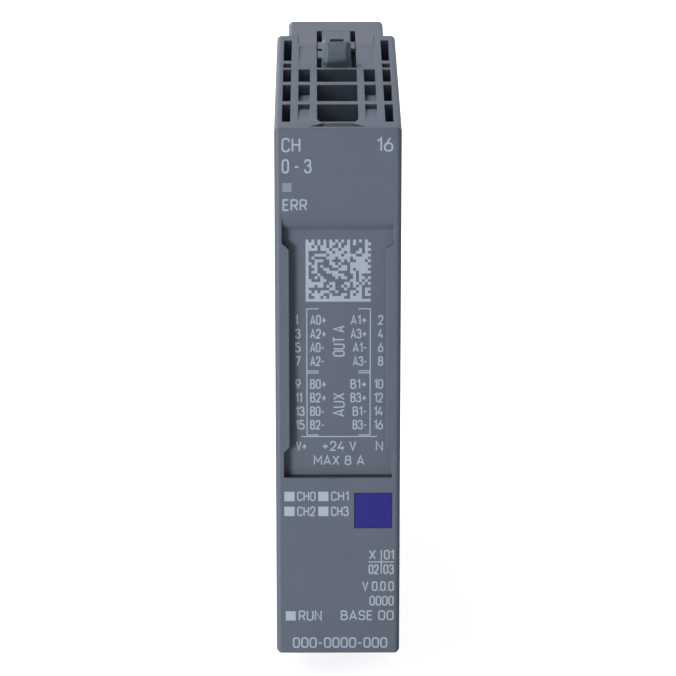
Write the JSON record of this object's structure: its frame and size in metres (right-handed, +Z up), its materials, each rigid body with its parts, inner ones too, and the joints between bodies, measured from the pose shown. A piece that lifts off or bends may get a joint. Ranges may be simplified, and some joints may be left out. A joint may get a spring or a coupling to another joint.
{
  "type": "plc module",
  "caption": "Slim plug-in input/output module for an industrial controller, with vented top and bottom, status windows, a label recess and two sprung release latches.",
  "frame": {"origin": "centre of the seating plane, the rear face of the wide front shell that rests against the base unit", "axes": "+X to the module's right seen from the front, +Y rearward into the base unit, +Z up"},
  "size_m": [0.015, 0.058, 0.073],
  "materials": {
    "housing_plastic": "fine matte moulded texture",
    "blue_plastic": "smooth satin",
    "guide_plastic": "clear milky light guide",
    "board_laminate": "solder mask",
    "lamp_resin": "moulded resin",
    "chip_resin": "moulded black resin",
    "ferrite": "sintered ferrite",
    "winding_copper": "enamelled copper wire",
    "can_aluminium": "satin can",
    "ceramic": "fired ceramic",
    "insulator_plastic": "glass-filled plastic",
    "contact_brass": "plated contact",
    "key_plastic": "natural white plastic"
  },
  "bodies": {
    "module": {"front_housing": "housing_plastic", "rear_housing": "housing_plastic", "colour_code_plate": "blue_plastic", "diagnostic_light_guide": "guide_plastic", "channel_light_guide": "guide_plastic", "power_light_guide": "guide_plastic", "circuit_board": "board_laminate", "diagnostic_led": "lamp_resin", "channel_leds": "lamp_resin", "power_led": "lamp_resin", "controller_chip": "chip_resin", "bus_interface_chip": "chip_resin", "converter_chip": "chip_resin", "output_driver_chips": "chip_resin", "transformer_core": "ferrite", "transformer_winding": "winding_copper", "signal_isolators": "chip_resin", "power_inductor": "ferrite", "supply_capacitors": "can_aluminium", "ceramic_capacitors": "ceramic", "chip_resistors": "chip_resin", "input_fuse": "ceramic", "suppressor_diode": "chip_resin", "crystal_oscillator": "can_aluminium", "contact_carrier": "insulator_plastic", "process_contacts": "contact_brass", "supply_contacts": "contact_brass", "bus_connector": "insulator_plastic", "bus_contacts": "contact_brass", "coding_socket": "insulator_plastic"},
    "top_release_latch": {"top_release_latch": "housing_plastic"},
    "bottom_release_latch": {"bottom_release_latch": "housing_plastic"},
    "coding_key": {"coding_key": "key_plastic"}
  },
  "joints": [
    {"name": "top_latch_hinge", "type": "hinge", "parent": "module", "child": "top_release_latch", "pos_m": [0, 0.0036, 0.0315], "axis": [1, 0, 0], "range_deg": [0, 4], "stiffness_Nm_per_rad": 0.05, "springref_deg": -2.86},
    {"name": "bottom_latch_hinge", "type": "hinge", "parent": "module", "child": "bottom_release_latch", "pos_m": [0, 0.0036, -0.0315], "axis": [-1, 0, 0], "range_deg": [0, 4], "stiffness_Nm_per_rad": 0.05, "springref_deg": -2.86},
    {"name": "coding_key_slide", "type": "slide", "parent": "module", "child": "coding_key", "axis": [0, 1, 0], "range_m": [0, 0.0075]}
  ]
}
